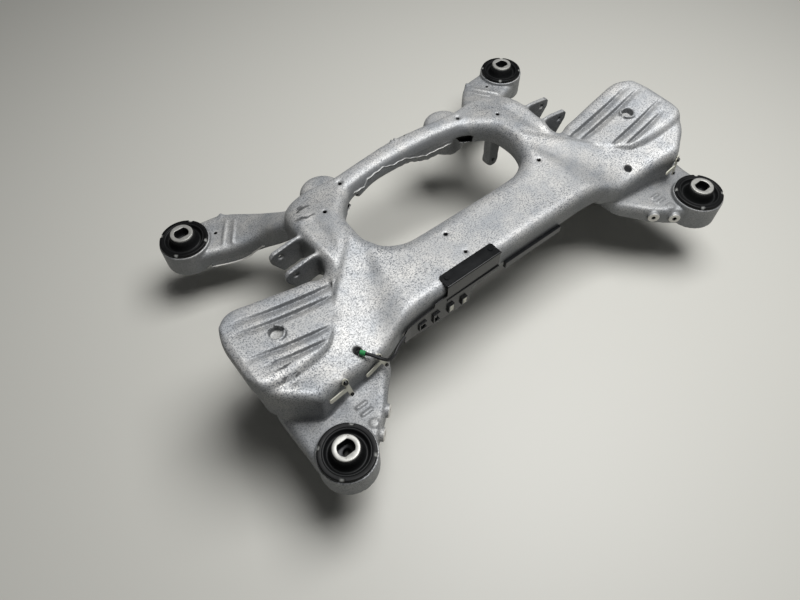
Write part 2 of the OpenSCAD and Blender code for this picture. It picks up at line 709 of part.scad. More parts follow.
on_ramp(clip_right) push_plugs(-6);  // push_plugs_right
sensor_lead();
lead_band();
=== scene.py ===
import bmesh
import bpy
import numpy as np
from mathutils import Matrix, Vector


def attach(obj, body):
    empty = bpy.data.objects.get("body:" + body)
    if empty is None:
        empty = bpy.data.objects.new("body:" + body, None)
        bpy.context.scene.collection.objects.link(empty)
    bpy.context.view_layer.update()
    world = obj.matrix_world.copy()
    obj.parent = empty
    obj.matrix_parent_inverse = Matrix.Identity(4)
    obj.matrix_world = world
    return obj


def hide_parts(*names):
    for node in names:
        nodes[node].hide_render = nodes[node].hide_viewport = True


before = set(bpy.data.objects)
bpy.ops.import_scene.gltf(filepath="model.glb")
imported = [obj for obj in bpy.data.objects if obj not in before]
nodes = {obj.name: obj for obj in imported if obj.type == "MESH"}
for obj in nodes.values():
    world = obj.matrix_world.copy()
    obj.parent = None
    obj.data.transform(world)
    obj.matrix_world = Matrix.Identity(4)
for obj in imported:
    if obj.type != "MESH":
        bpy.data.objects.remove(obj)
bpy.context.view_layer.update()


# Camera: it looks down on the frame from the front left corner, as the photograph does.
# Its place and axes were solved from the floor joints and the four body bushes.
FOCAL_PIXELS = 613.75
PHOTO_WIDTH = 800
viewpoint = Vector((-0.6925, -0.7330, 1.2987))
ahead = Vector((0.3424, 0.4501, -0.8247)).normalized()
across = Vector((0.7849, -0.6194, -0.0122)).normalized()
upward = across.cross(ahead).normalized()
lens = bpy.data.cameras.new("photo_camera")
lens.sensor_width = 36.0
lens.lens = FOCAL_PIXELS * lens.sensor_width / PHOTO_WIDTH
camera = bpy.data.objects.new("photo_camera", lens)
camera_axes = Matrix((across, upward, -ahead)).transposed()
camera.matrix_world = Matrix.Translation(viewpoint) @ camera_axes.to_4x4()
bpy.context.collection.objects.link(camera)
bpy.context.scene.camera = camera


# The casting: one hollow shell of silicon aluminium, with every limb run into the next by foundry fillets.
# It is shot-blasted after casting, and the four bush eyes and the link ears are machined.
VOXEL = 0.0020
FILLET_ROUNDS = 26
CASTING_TRIANGLES = 192000
EYE_X, EYE_Y = (0.526, 0.520), (-0.3425, 0.3425)
# x, y and reach of the small marks that stay crisp: dashes, discs, wall bosses, drilled holes
CRISP_MARKS = [(0.446, -0.290, 0.026), (0.449, -0.324, 0.013), (0.406, -0.316, 0.018),
               (0.444, -0.349, 0.018), (0.400, -0.208, 0.014), (0.510, -0.099, 0.024),
               (0.180, 0.160, 0.013), (0.260, 0.102, 0.013), (0.427, 0.310, 0.034),
               (0.409, 0.300, 0.034), (0.002, 0.196, 0.014), (0.036, 0.196, 0.008)]
# x, y, radius and height of the face of the drilled holes, on both sides and on one side only
HOLES = [(0.180, 0.160, 0.0045, 0.289), (0.260, 0.102, 0.0045, 0.298), (0.449, 0.3245, 0.0030, 0.172)]
SINGLE_HOLES = [(-0.087, -0.105, 0.0035, 0.286), (-0.086, -0.169, 0.0035, 0.286),
                (0.229, -0.073, 0.0035, 0.292), (0.036, 0.196, 0.0035, 0.290)]
# how far past its radius a hole's painted shade reaches, the depth of the shaded part's middle, and half
# its length
HOLE_SLACK, HOLE_MIDDLE, HOLE_HALF = 0.0012, 0.018, 0.0155
# x, y and height of the middle of the two bosses on each front arm's wall, and the way that they face
BOSSES = [(0.408, -0.3125, 0.173), (0.446, -0.3455, 0.172)]
BOSS_TURN = np.radians(228)
# radius of a boss's bore and of its face, and where each lies along the way that the boss faces
BORE_R, BORE_SPAN = 0.0054, (-0.02, 0.0034)
FACE_R, FACE_SPAN = 0.0146, (0.0026, 0.008)
# x, y and turn of the mouth in the inner wall behind each end of the arch, painted dark as shade, its half
# width, and where it lies across the wall and in height
MOUTH_X, MOUTH_Y, MOUTH_TURN = 0.168, 0.118, np.radians(-24)
MOUTH_HALF, MOUTH_SPAN, MOUTH_RISE = 0.0262, (-0.008, 0.0305), (0.2325, 0.2553)
# broad hollows that the foundry blends out: x, y, reach, and whether the blend stops at the seat's edge
SOFT_FOLDS = [(0.335, -0.140, 0.085, True), (0.350, -0.022, 0.032, False)]
FOLD_ROUNDS, FOLD_LOWEST = 700, 0.245
# where the seat's front edge runs, as x and y: the folds before it stop there
SEAT_EDGE = np.array([(0.306, -0.054), (0.345, -0.084), (0.385, -0.128), (0.420, -0.162),
                      (0.452, -0.182)])
# boxes on both sides of the casting: distance from the middle, y and z, each from and to
FAR = 1.0
FEET = ((0.43, FAR), (-0.125, 0.07), (-FAR, FAR))
EARS = ((0.345, FAR), (0.005, 0.095), (0.2, FAR))
GROOVES = ((0.34, 0.595), (-0.182, -0.03), (0.262, FAR))
RAMPS = ((0.36, FAR), (-FAR, -0.19), (0.185, FAR))
ARM_TOPS = ((0.36, FAR), (-FAR, -0.20), (-FAR, FAR))
ARCH_WALL = ((-FAR, 0.185), (0.10, 0.165), (0.235, FAR))
SEATS = ((0.335, FAR), (-0.170, -0.03), (0.262, FAR))
# what is kept crisp: radius about an eye's middle, height of the feet, and x of the root of the ears
EYE_KEPT, FEET_TOP, EAR_ROOT = 0.062, 0.205, 0.37
# x, y and radius of the dished hole in each seat
SEAT_HOLE = (0.510, -0.099, 0.0125)
# middle and reach of the black rub marks from handling
SCUFFS = [((-0.300, 0.128, 0.296), 0.052), ((-0.535, -0.186, 0.303), 0.042),
          ((0.057, -0.156, 0.285), 0.022)]


def linear(code):
    """The linear colour of an sRGB hex code: each channel undoes the sRGB curve."""
    channel = np.array([int(code[i:i + 2], 16) for i in (1, 3, 5)]) / 255
    low = channel / 12.92
    high = ((channel + 0.055) / 1.055) ** 2.4
    return (*np.where(channel <= 0.04045, low, high), 1.0)


def add(material, kind, sockets=None, **settings):
    """Adds a shader node. Settings are its properties; a socket takes a value or another node's output."""
    node = material.node_tree.nodes.new(kind)
    for name, value in settings.items():
        setattr(node, name, value)
    for key, value in (sockets or {}).items():
        if isinstance(value, bpy.types.NodeSocket):
            material.node_tree.links.new(value, node.inputs[key])
        else:
            node.inputs[key].default_value = value
    return node


def blank(name):
    """A material with an empty node tree."""
    material = bpy.data.materials.new(name)
    material.use_nodes = True
    material.node_tree.nodes.clear()
    return material


def per_metre(millimetres):
    """The texture scale at which a pattern's features have this size."""
    return 1000 / millimetres


# Shot-blasted cast aluminium: a matt pale grey, mottled cool and warm, under a dense dark grit.
def cast_aluminium():
    """Grit share = noise under a level, times a slow patchiness; flecks, scuffs, painted shade and pale
    bare metal lie over it.
    """
    skin = blank("blasted_cast_aluminium")
    place = add(skin, "ShaderNodeTexCoord").outputs["Object"]
    mottle = add(skin, "ShaderNodeTexNoise", {"Vector": place, "Scale": per_metre(55), "Detail": 5.0,
                                              "Roughness": 0.6})
    cloud = add(skin, "ShaderNodeMapRange",
                {"Value": mottle.outputs["Fac"], "From Min": 0.33, "From Max": 0.67})
    tone = add(skin, "ShaderNodeMix",
               {0: cloud.outputs["Result"], 6: linear("#A3A6A9"), 7: linear("#C4C3C0")}, data_type="RGBA")
    # the real grit is finer than a millimetre; it is drawn coarser so that it shows from here
    grit = add(skin, "ShaderNodeTexNoise",
               {"Vector": place, "Scale": per_metre(3.0), "Detail": 2.0, "Roughness": 0.7})
    dark = add(skin, "ShaderNodeMapRange",
               {"Value": grit.outputs["Fac"], "From Min": 0.39, "From Max": 0.52, "To Min": 1.0,
                "To Max": 0.0})
    patch = add(skin, "ShaderNodeTexNoise", {"Vector": place, "Scale": per_metre(120), "Detail": 3.0})
    amount = add(skin, "ShaderNodeMapRange",
                 {"Value": patch.outputs["Fac"], "From Min": 0.35, "From Max": 0.65, "To Min": 0.5,
                  "To Max": 0.9})
    share = add(skin, "ShaderNodeMath", {0: dark.outputs["Result"], 1: amount.outputs["Result"]},
                operation="MULTIPLY")
    grey = add(skin, "ShaderNodeMix", {0: share.outputs[0], 6: tone.outputs[2], 7: linear("#606368")},
               data_type="RGBA")
    fleck = add(skin, "ShaderNodeTexVoronoi", {"Vector": place, "Scale": per_metre(8.5)})
    spot = add(skin, "ShaderNodeMapRange",
               {"Value": fleck.outputs["Distance"], "From Min": 0.10, "From Max": 0.19, "To Min": 0.75,
                "To Max": 0.0})
    chance = add(skin, "ShaderNodeSeparateColor", {"Color": fleck.outputs["Color"]})
    chosen = add(skin, "ShaderNodeMath", {0: chance.outputs["Red"], 1: 0.62}, operation="GREATER_THAN")
    spots = add(skin, "ShaderNodeMath", {0: spot.outputs["Result"], 1: chosen.outputs[0]},
                operation="MULTIPLY")
    flecked = add(skin, "ShaderNodeMix", {0: spots.outputs[0], 6: grey.outputs[2], 7: linear("#45474B")},
                  data_type="RGBA")
    # each rub mark is a stretched noise over a level, fading out with the distance from its middle
    colour = flecked.outputs[2]
    for centre, reach in SCUFFS:
        away = add(skin, "ShaderNodeVectorMath", {0: place, 1: centre}, operation="DISTANCE")
        near = add(skin, "ShaderNodeMapRange",
                   {"Value": away.outputs["Value"], "From Min": 0.3 * reach, "From Max": reach,
                    "To Min": 1.0, "To Max": 0.0})
        along = add(skin, "ShaderNodeMapping",
                    {"Vector": place, "Rotation": (0, 0, 0.5), "Scale": (0.35, 1, 1)})
        rub = add(skin, "ShaderNodeTexNoise",
                  {"Vector": along.outputs[0], "Scale": per_metre(11), "Detail": 3.0})
        mark = add(skin, "ShaderNodeMapRange",
                   {"Value": rub.outputs["Fac"], "From Min": 0.57, "From Max": 0.61, "To Min": 0.0,
                    "To Max": 0.85})
        scuff = add(skin, "ShaderNodeMath", {0: near.outputs["Result"], 1: mark.outputs["Result"]},
                    operation="MULTIPLY")
        colour = add(skin, "ShaderNodeMix", {0: scuff.outputs[0], 6: colour, 7: linear("#2E2F31")},
                     data_type="RGBA").outputs[2]
    # painted shade: the wall share darkens walls and undersides
    wall = add(skin, "ShaderNodeAttribute", attribute_name="wall")
    colour = add(skin, "ShaderNodeMix", {0: wall.outputs["Fac"], 6: colour, 7: linear("#6F7173")},
                 data_type="RGBA").outputs[2]
    # painted shade darkens the creases
    crease_shade = add(skin, "ShaderNodeAttribute", attribute_name="crease_shade")
    colour = add(skin, "ShaderNodeMix", {0: crease_shade.outputs["Fac"], 6: colour, 7: linear("#4A4C4F")},
                 data_type="RGBA").outputs[2]
    # machined faces are bare and pale, and the same pale share lays a painted highlight on the parting
    # flash
    bare = add(skin, "ShaderNodeAttribute", attribute_name="bare_metal_and_highlight")
    colour = add(skin, "ShaderNodeMix", {0: bare.outputs["Fac"], 6: colour, 7: linear("#D6D4CE")},
                 data_type="RGBA").outputs[2]
    # painted shade: the inside share makes the holes, bores and the arch's mouths black inside
    inside = add(skin, "ShaderNodeAttribute", attribute_name="inside")
    colour = add(skin, "ShaderNodeMix", {0: inside.outputs["Fac"], 6: colour, 7: linear("#08080A")},
                 data_type="RGBA").outputs[2]
    rough = add(skin, "ShaderNodeMapRange", {"Value": grit.outputs["Fac"], "From Min": 0.3, "From Max": 0.7,
                                             "To Min": 0.62, "To Max": 0.46})
    bump = add(skin, "ShaderNodeBump", {"Height": grit.outputs["Fac"], "Strength": 0.3, "Distance": 0.0006})
    shader = add(skin, "ShaderNodeBsdfPrincipled", {"Base Color": colour, "Metallic": 0.4,
                                                    "Roughness": rough.outputs["Result"],
                                                    "Normal": bump.outputs["Normal"]})
    add(skin, "ShaderNodeOutputMaterial", {"Surface": shader.outputs[0]})
    return skin


def applied(piece):
    """The piece's mesh with its modifiers worked in."""
    graph = bpy.context.evaluated_depsgraph_get()
    graph.update()
    return bpy.data.meshes.new_from_object(piece.evaluated_get(graph), depsgraph=graph)


def take_mesh(piece, mesh):
    """Gives the piece a smooth-shaded mesh and drops the modifiers that made it."""
    piece.modifiers.clear()
    piece.data = mesh
    mesh.polygons.foreach_set("use_smooth", np.ones(len(mesh.polygons), dtype=bool))


def in_box(points, box):
    """Which points lie in a box whose x is a distance from the middle, so that it counts on both sides."""
    low, high = np.array(box).T
    folded = np.column_stack([np.abs(points[:, 0]), points[:, 1:]])
    return ((folded > low) & (folded < high)).all(axis=1)


def grade(value, start, length, least=0):
    """A straight climb from the least share at start to 1 a length on; a length below 0 climbs back."""
    return np.clip((value - start) / length, least, 1)


def turned_plan(x, y, turn):
    """The plan's x and y along axes turned by an angle: x cos + y sin, and y cos - x sin."""
    return x * np.cos(turn) + y * np.sin(turn), y * np.cos(turn) - x * np.sin(turn)


def fillet_freedom(points):
    """How far each point may relax, 0 to 1: little on eyes, ears, feet, seat grooves and small marks."""
    x, y, z = np.abs(points[:, 0]), points[:, 1], points[:, 2]
    free = np.ones(len(points))
    for cx, cy in zip(EYE_X, EYE_Y):
        free = np.minimum(free, grade(np.hypot(x - cx, y - cy), EYE_KEPT, 0.03, 0.05))
    for cx, cy, reach in CRISP_MARKS:
        free = np.minimum(free, grade(np.hypot(x - cx, y - cy), reach, 0.006, 0.1))
    free = np.where(in_box(points, FEET), np.minimum(free, grade(z, FEET_TOP, 0.02, 0.08)), free)
    free = np.where(in_box(points, EARS), np.minimum(free, grade(x, EAR_ROOT, -0.025, 0.1)), free)
    return np.where(in_box(points, GROOVES), np.minimum(free, 0.05), free)


def boss_ring(points, boss, radius, span):
    """Which points lie within a radius of a wall boss's axis and in a span along it, on both sides."""
    cx, cy, cz = boss
    out, side = turned_plan(np.abs(points[:, 0]) - cx, points[:, 1] - cy, BOSS_TURN)
    return (np.hypot(side, points[:, 2] - cz) < radius) & (out > span[0]) & (out < span[1])


def hole_shade_share(points):
    """1 inside a drilled hole, boss bore or the mouth in the inner wall, 0 elsewhere: the share of painted
    shade.
    """
    x, y, z = points.T
    dark = np.zeros(len(points), dtype=bool)
    for spots, across_x in ((HOLES, np.abs(x)), (SINGLE_HOLES, x)):
        for cx, cy, radius, face in spots:
            within = np.hypot(across_x - cx, y - cy) < radius + HOLE_SLACK
            dark |= within & (np.abs(z - face + HOLE_MIDDLE) < HOLE_HALF)
    for boss in BOSSES:
        dark |= boss_ring(points, boss, BORE_R, BORE_SPAN)
    along, inward = turned_plan(np.abs(x) - MOUTH_X, y - MOUTH_Y, MOUTH_TURN)
    mouth = (np.abs(along) < MOUTH_HALF) & (z > MOUTH_RISE[0]) & (z < MOUTH_RISE[1])
    dark |= mouth & (inward > MOUTH_SPAN[0]) & (inward < MOUTH_SPAN[1])
    return dark.astype(float)


def machined_share(points):
    """1 on the outer face of each wall boss, part in the seat's dished hole, 0 elsewhere."""
    pale = np.zeros(len(points), dtype=bool)
    for boss in BOSSES:
        pale |= boss_ring(points, boss, FACE_R, FACE_SPAN)
    cx, cy, radius = SEAT_HOLE
    x, y, z = points.T
    dished = (np.hypot(np.abs(x) - cx, y - cy) < radius) & (z > 0.27)
    return np.where(dished, 0.3, pale.astype(float))


def relax(points, edges, freedom, rounds):
    """Each round moves every point half way, times its freedom, towards the mean of its neighbours."""
    first, second = edges.T
    count = len(points)
    degree = np.bincount(edges.ravel(), minlength=count)[:, None]
    step = 0.5 * freedom[:, None]
    for _ in range(rounds):
        total = np.stack([np.bincount(first, points[second, k], count)
                          + np.bincount(second, points[first, k], count) for k in range(3)], axis=1)
        points = points + step * (total / degree - points)
    return points


def soften(points, edges, rounds):
    """Relaxes the broad folds alone: freedom is 1 over a fold's inner half and falls to 0 at its reach."""
    x, y, z = np.abs(points[:, 0]), points[:, 1], points[:, 2]
    freedom = np.zeros(len(points))
    before_seat = grade(y, np.interp(x, *SEAT_EDGE.T) + 0.007, -0.012)
    for cx, cy, reach, stops_at_seat in SOFT_FOLDS:
        near = np.clip(2.2 * (1 - np.hypot(x - cx, y - cy) / reach), 0, 1)
        freedom = np.maximum(freedom, near * before_seat if stops_at_seat else near)
    freedom = np.where(z > FOLD_LOWEST, freedom, 0)
    chosen = freedom > 0
    chosen[edges[chosen[edges].any(axis=1)].ravel()] = True
    number = np.cumsum(chosen) - 1
    inner = number[edges[chosen[edges].all(axis=1)]]
    points = points.copy()
    points[chosen] = relax(points[chosen], inner, freedom[chosen], rounds)
    return points


def hollowness(points, normals, edges):
    """Positive in creases, negative on edges: the neighbours' mean rise along the normal, per length."""
    first, second = edges.T
    count = len(points)
    degree = np.maximum(np.bincount(edges.ravel(), minlength=count), 1)
    gap = points[second] - points[first]
    length = np.linalg.norm(gap, axis=1) + 1e-9
    rise = (np.bincount(first, (gap * normals[first]).sum(1) / length, count)
            - np.bincount(second, (gap * normals[second]).sum(1) / length, count)) / degree
    for _ in range(2):
        rise = 0.5 * rise + 0.5 * (np.bincount(first, rise[second], count)
                                   + np.bincount(second, rise[first], count)) / degree
    return rise


def read_mesh(mesh):
    """The mesh's points and its edges, each as one array."""
    points = np.empty(3 * len(mesh.vertices))
    mesh.vertices.foreach_get("co", points)
    edges = np.empty(2 * len(mesh.edges), dtype=np.int32)
    mesh.edges.foreach_get("vertices", edges)
    return points.reshape(-1, 3), edges.reshape(-1, 2)


def paint(mesh, label, share):
    """Stores one share per point, 0 to 1, for a material to read."""
    mesh.attributes.new(label, "FLOAT", "POINT").data.foreach_set("value", share)


raw = bmesh.new()
raw.from_mesh(nodes["frame_casting"].data)
bmesh.ops.remove_doubles(raw, verts=raw.verts, dist=1e-5)
raw_mesh = bpy.data.meshes.new("casting")
raw.to_mesh(raw_mesh)
raw.free()
casting = bpy.data.objects.new("casting", raw_mesh)
bpy.context.collection.objects.link(casting)
even = casting.modifiers.new("even_skin", "REMESH")
even.mode = "VOXEL"
even.voxel_size = VOXEL
take_mesh(casting, applied(casting))
skin_mesh = casting.data
points, edges = read_mesh(skin_mesh)
points = soften(points, edges, FOLD_ROUNDS)
points = relax(points, edges, fillet_freedom(points), FILLET_ROUNDS)
# two light rounds everywhere take out the steps of the voxels
points = relax(points, edges, np.full(len(points), 0.4), 2)
skin_mesh.vertices.foreach_set("co", points.ravel())
skin_mesh.update()
thin = casting.modifiers.new("thinned_skin", "DECIMATE")
thin.ratio = min(1.0, CASTING_TRIANGLES / (2 * len(skin_mesh.polygons)))
take_mesh(casting, applied(casting))
points, edges = read_mesh(casting.data)
normals = np.empty(3 * len(casting.data.vertices), dtype=np.float32)
casting.data.vertex_normals.foreach_get("vector", normals)
normals = normals.reshape(-1, 3)
out, y, z = np.abs(points[:, 0]), points[:, 1], points[:, 2]
facing_front, facing_up = -normals[:, 1], normals[:, 2]
# painted shade: the wall share grows as a face turns from up towards the side
steep = grade(facing_up, 0.7, -0.7)
# the ramps above the front arms get less painted shade, so they read nearly as bright as the deck
ramp = in_box(points, RAMPS) & (facing_up > -0.05)
wall = np.where(ramp, 0.65, 0.8) * steep
# painted shade greys the tops of the front arms where they lie lower than the deck
wall = np.maximum(wall, 0.4 * grade(z, 0.245, -0.03) * in_box(points, ARM_TOPS))
# the arch's inner wall is the as-cast side of its channel; painted shade darkens it right up to the rounded
# corner
wall = np.maximum(wall, 0.85 * grade(facing_front, 0.55, 0.25) * in_box(points, ARCH_WALL))
crease_shade = 0.8 * grade(hollowness(points, normals, edges), 0, 0.16)
# painted shade darkens the grooves' walls that face forward
on_seat = in_box(points, SEATS) & (y > np.interp(out, *SEAT_EDGE.T) + 0.012) & (facing_up > 0.3)
crease_shade = np.maximum(crease_shade, 0.75 * grade(facing_front, 0.13, 0.22) * on_seat)
paint(casting.data, "wall", wall)
paint(casting.data, "crease_shade", crease_shade)
paint(casting.data, "inside", hole_shade_share(points))
paint(casting.data, "bare_metal_and_highlight", machined_share(points))
casting.data.materials.clear()
casting.data.materials.append(cast_aluminium())
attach(casting, "root")
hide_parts("frame_casting")


# Lip of the arch: the inner wall of the rear crossmember is one side of an open channel. Its trimmed edge
# waves along the wall as a thin pale line, and right of the middle it hangs below the arch.
# how far the lip stands proud, how deep it is rooted, how tall it is, and over what length its ends fade
LIP = (0.0014, 0.0050, 0.0020, 0.012)
# x and y of the inner wall, the height of the trimmed edge along it, and the lower edge of the hanging part
WALL_X = np.array([-0.180, -0.160, -0.140, -0.120, -0.100, -0.060, 0, 0.060, 0.100, 0.120, 0.140])
WALL_Y = np.array([0.120, 0.130, 0.1345, 0.138, 0.142, 0.146, 0.148, 0.146, 0.142, 0.138, 0.1345])
EDGE_X = np.array([-0.165, -0.130, -0.116, -0.062, -0.036, 0, 0.034, 0.066, 0.106, 0.140])
EDGE_Z = np.array([0.270, 0.264, 0.275, 0.278, 0.269, 0.268, 0.254, 0.243, 0.245, 0.249])
HANG_X = np.array([-0.020, 0.020, 0.050, 0.076, 0.115, 0.140])
HANG_Z = np.array([0.247, 0.243, 0.229, 0.221, 0.223, 0.229])
# how far behind the wall each corner of the hanging part's section lies, and its top and back heights
HANG_BEHIND = np.array([0.0055, 0.0004, 0.0004, 0.0040, 0.0075, 0.0085])
HANG_TOP, HANG_BACK = 0.2585, 0.2450
# height of the ripple that the trimming left
RIPPLE = 0.0008


def carried(x, section_y, section_z):
    """A closed section carried along x: corner k of the section at x lies at section_y[k], section_z[k]."""
    corners = len(section_y)
    grid = np.stack([np.broadcast_to(x, (corners, len(x))), section_y, section_z], axis=-1)
    index = np.arange(corners * len(x)).reshape(corners, len(x))
    ahead_of = np.roll(index, -1, axis=0)
    sides = np.stack([index[:, :-1], index[:, 1:], ahead_of[:, 1:], ahead_of[:, :-1]], axis=-1)
    ends = [index[:, 0].tolist(), index[::-1, -1].tolist()]
    return grid.reshape(-1, 3), sides.reshape(-1, 4).tolist() + ends


def ridge(x, wall_y, edge_z, size):
    """Section of a thin six-sided ridge along a wall, whose size fades to a small share at both ends."""
    proud, deep, tall, fade = size
    taper = np.clip(np.minimum(x - x[0], x[-1] - x) / fade, 0.15, 1)
    section_y = wall_y + np.array([deep, 0, -proud, -proud, 0, deep])[:, None] * taper
    section_z = edge_z + tall * np.array([0.5, 0.5, 0.25, -0.25, -0.5, -0.5])[:, None] * taper
    return section_y, section_z


def cast_piece(name, points, faces, wall, bare_metal_and_highlight):
    """A piece of the casting's own metal, with its share of painted wall shade and its share of pale bare
    metal and painted highlight.
    """
    mesh = bpy.data.meshes.new(name)
    mesh.from_pydata(points.tolist(), [], faces)
    mesh.materials.append(casting.data.materials[0])
    paint(mesh, "wall", np.full(len(points), wall))
    paint(mesh, "bare_metal_and_highlight", np.full(len(points), bare_metal_and_highlight))
    piece = bpy.data.objects.new(name, mesh)
    bpy.context.collection.objects.link(piece)
    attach(piece, "root")


x = np.linspace(EDGE_X[0], EDGE_X[-1], 160)
edge_z = np.interp(x, EDGE_X, EDGE_Z) + RIPPLE * np.sin(x * 260)
# near its top the wall leans back into the arch's rounded corner
wall_y = np.interp(x, WALL_X, WALL_Y) + 0.0035 * grade(edge_z, 0.258, 0.02) ** 2
# the trim line is painted pale as trimmed bare metal, with a little painted shade
cast_piece("arch_trim_line", *carried(x, *ridge(x, wall_y, edge_z, LIP)), 0.1, 0.25)
x = np.linspace(HANG_X[0], HANG_X[-1], 120)
low_z = np.interp(x, HANG_X, HANG_Z) + RIPPLE * np.sin(x * 310)
section_y = np.interp(x, WALL_X, WALL_Y) + HANG_BEHIND[:, None]
top_z, back_z = np.full(len(x), HANG_TOP), np.full(len(x), HANG_BACK)
edge_z = np.clip(np.interp(x, EDGE_X, EDGE_Z), low_z + 0.001, HANG_TOP - 0.0005)
section_z = np.stack([top_z, top_z, edge_z, low_z, low_z, back_z])
# painted shade darkens the hanging part
cast_piece("arch_hanging_wall", *carried(x, section_y, section_z), 0.75, 0.0)


# Parting lines of the rear arms: where the two halves of the mould met, a thin pale flash waves along the
# front wall. Below the arm's rounded corner the wall runs on down to it.
# the flash's proudness, root, height and fade, in the same order as the lip's
FLASH = (0.0024, 0.0060, 0.0026, 0.010)
# ends, top, highest lower edge, thickness and inset of the wall below the corner
LOWER_WALL_ENDS, LOWER_WALL_TOP, LOWER_WALL_LOW = (0.402, 0.496), 0.127, 0.124
LOWER_WALL_THICK, LOWER_WALL_INSET = 0.0060, 0.0005
# distance from the middle and y of the front wall, and the height of the flash along it
ARM_X = np.array([0.360, 0.372, 0.385, 0.400, 0.420, 0.440, 0.460, 0.480, 0.500])
ARM_Y = np.array([0.226, 0.232, 0.240, 0.2457, 0.2519, 0.2583, 0.2650, 0.2715, 0.276])
FLASH_X = np.array([0.364, 0.376, 0.389, 0.408, 0.428, 0.445, 0.462, 0.480, 0.498])
FLASH_Z = np.array([0.143, 0.141, 0.130, 0.117, 0.111, 0.1105, 0.111, 0.1135, 0.1165])
flash_x = np.linspace(FLASH_X[0], FLASH_X[-1], 120)
flash_z = np.interp(flash_x, FLASH_X, FLASH_Z)
flash = ridge(flash_x, np.interp(flash_x, ARM_X, ARM_Y), flash_z, FLASH)
low_x = np.linspace(*LOWER_WALL_ENDS, 80)
low_y = np.interp(low_x, ARM_X, ARM_Y) + LOWER_WALL_INSET
low_z = np.minimum(np.interp(low_x, FLASH_X, FLASH_Z), LOWER_WALL_LOW)
top_z = np.full(len(low_x), LOWER_WALL_TOP)
lower_wall = (low_y + LOWER_WALL_THICK * np.array([1, 0, 0, 1])[:, None],
              np.stack([top_z, top_z, low_z, low_z]))
# the left side is the right one mirrored, and is carried the other way so that its faces point outwards
for side, sign in (("left", -1), ("right", 1)):
    for name, x, (section_y, section_z), wall, bare_metal_and_highlight in (
            # the flash is painted pale, partly as trimmed bare metal and partly as a painted highlight
            ("arm_parting_line_", flash_x, flash, 0.0, 0.8),
            # painted shade darkens the wall below the corner
            ("arm_lower_wall_", low_x, lower_wall, 0.7, 0.0)):
        points, faces = carried(x[::sign], section_y[:, ::sign], section_z[:, ::sign])
        cast_piece(name + side, points * (sign, 1, 1), faces, wall, bare_metal_and_highlight)


# Body bushes: a steel shell with a black coated flange is pressed into each eye. Rubber is moulded between
# it and an aluminium sleeve, whose oval recess keys the body bolt's washer.
FLANGE_T, SHELL_DEPTH = 0.008, 0.056
SLEEVE_R, SLEEVE_RISE, BOLT_R = 0.0265, 0.018, 0.008
RECESS_LONG, RECESS_WIDE, RECESS_DEEP = 0.034, 0.027, 0.024
BUSH_SEGMENTS = 192
# height of the flange's top at the front and the rear bushes
FLANGE_TOP = (0.210, 0.180)
# turn, half width and fade of the four notches in the flange's rim, and how far in and down each is cut
NOTCH_TURN, NOTCH_HALF, NOTCH_FADE = np.radians(45), np.radians(4.5), np.radians(1.5)
NOTCH_IN, NOTCH_DOWN = 0.0016, 0.0022


def turned(radius, height):
    """A closed profile carried round z: ring k has radius[k] and height[k], one value or one per angle."""
    ring_count = len(radius)
    angle = np.linspace(0, 2 * np.pi, BUSH_SEGMENTS, endpoint=False)
    radius = np.broadcast_to(radius, (ring_count, BUSH_SEGMENTS))
    height = np.broadcast_to(height, (ring_count, BUSH_SEGMENTS))
    grid = np.stack([radius * np.cos(angle), radius * np.sin(angle), height], axis=-1)
    index = np.arange(ring_count * BUSH_SEGMENTS).reshape(ring_count, BUSH_SEGMENTS)
    right = np.roll(index, -1, axis=1)
    below, below_right = np.roll(index, -1, axis=0), np.roll(right, -1, axis=0)
    faces = np.stack([index, right, below_right, below], axis=-1).reshape(-1, 4)
    return grid.reshape(-1, 3), faces


def piece_from(name, points, faces, material):
    """A smooth-shaded object at the origin from point and face arrays."""
    mesh = bpy.data.meshes.new(name)
    mesh.from_pydata(points.tolist(), [], faces.tolist())
    mesh.polygons.foreach_set("use_smooth", np.ones(len(mesh.polygons), dtype=bool))
    mesh.materials.append(material)
    piece = bpy.data.objects.new(name, mesh)
    bpy.context.collection.objects.link(piece)
    return piece


def profile_column(rows):
    """Radius and height columns, in metres, from (radius, height) rows in millimetres."""
    rows = np.array(rows) / 1000
    return rows[:, :1], rows[:, 1:]


# Black e-coat over pressed steel: satin, with a paler worn bloom on top.
def coated_steel():
    """A slow cloud of wear lightens the coat and roughens it."""
    coat = blank("black_coated_steel")
    place = add(coat, "ShaderNodeTexCoord").outputs["Object"]
    cloud = add(coat, "ShaderNodeTexNoise", {"Vector": place, "Scale": per_metre(14), "Detail": 5.0})
    colour = add(coat, "ShaderNodeMix",
                 {0: cloud.outputs["Fac"], 6: linear("#050506"), 7: linear("#0F1011")}, data_type="RGBA")
    notch = add(coat, "ShaderNodeAttribute", attribute_name="notch")
    bare = add(coat, "ShaderNodeMix", {0: notch.outputs["Fac"], 6: colour.outputs[2], 7: linear("#8E8F8C")},
               data_type="RGBA")
    rough = add(coat, "ShaderNodeMapRange", {"Value": cloud.outputs["Fac"], "To Min": 0.34, "To Max": 0.6})
    shader = add(coat, "ShaderNodeBsdfPrincipled",
                 {"Base Color": bare.outputs[2], "Specular IOR Level": 0.2,
                  "Roughness": rough.outputs["Result"]})
    add(coat, "ShaderNodeOutputMaterial", {"Surface": shader.outputs[0]})
    return coat


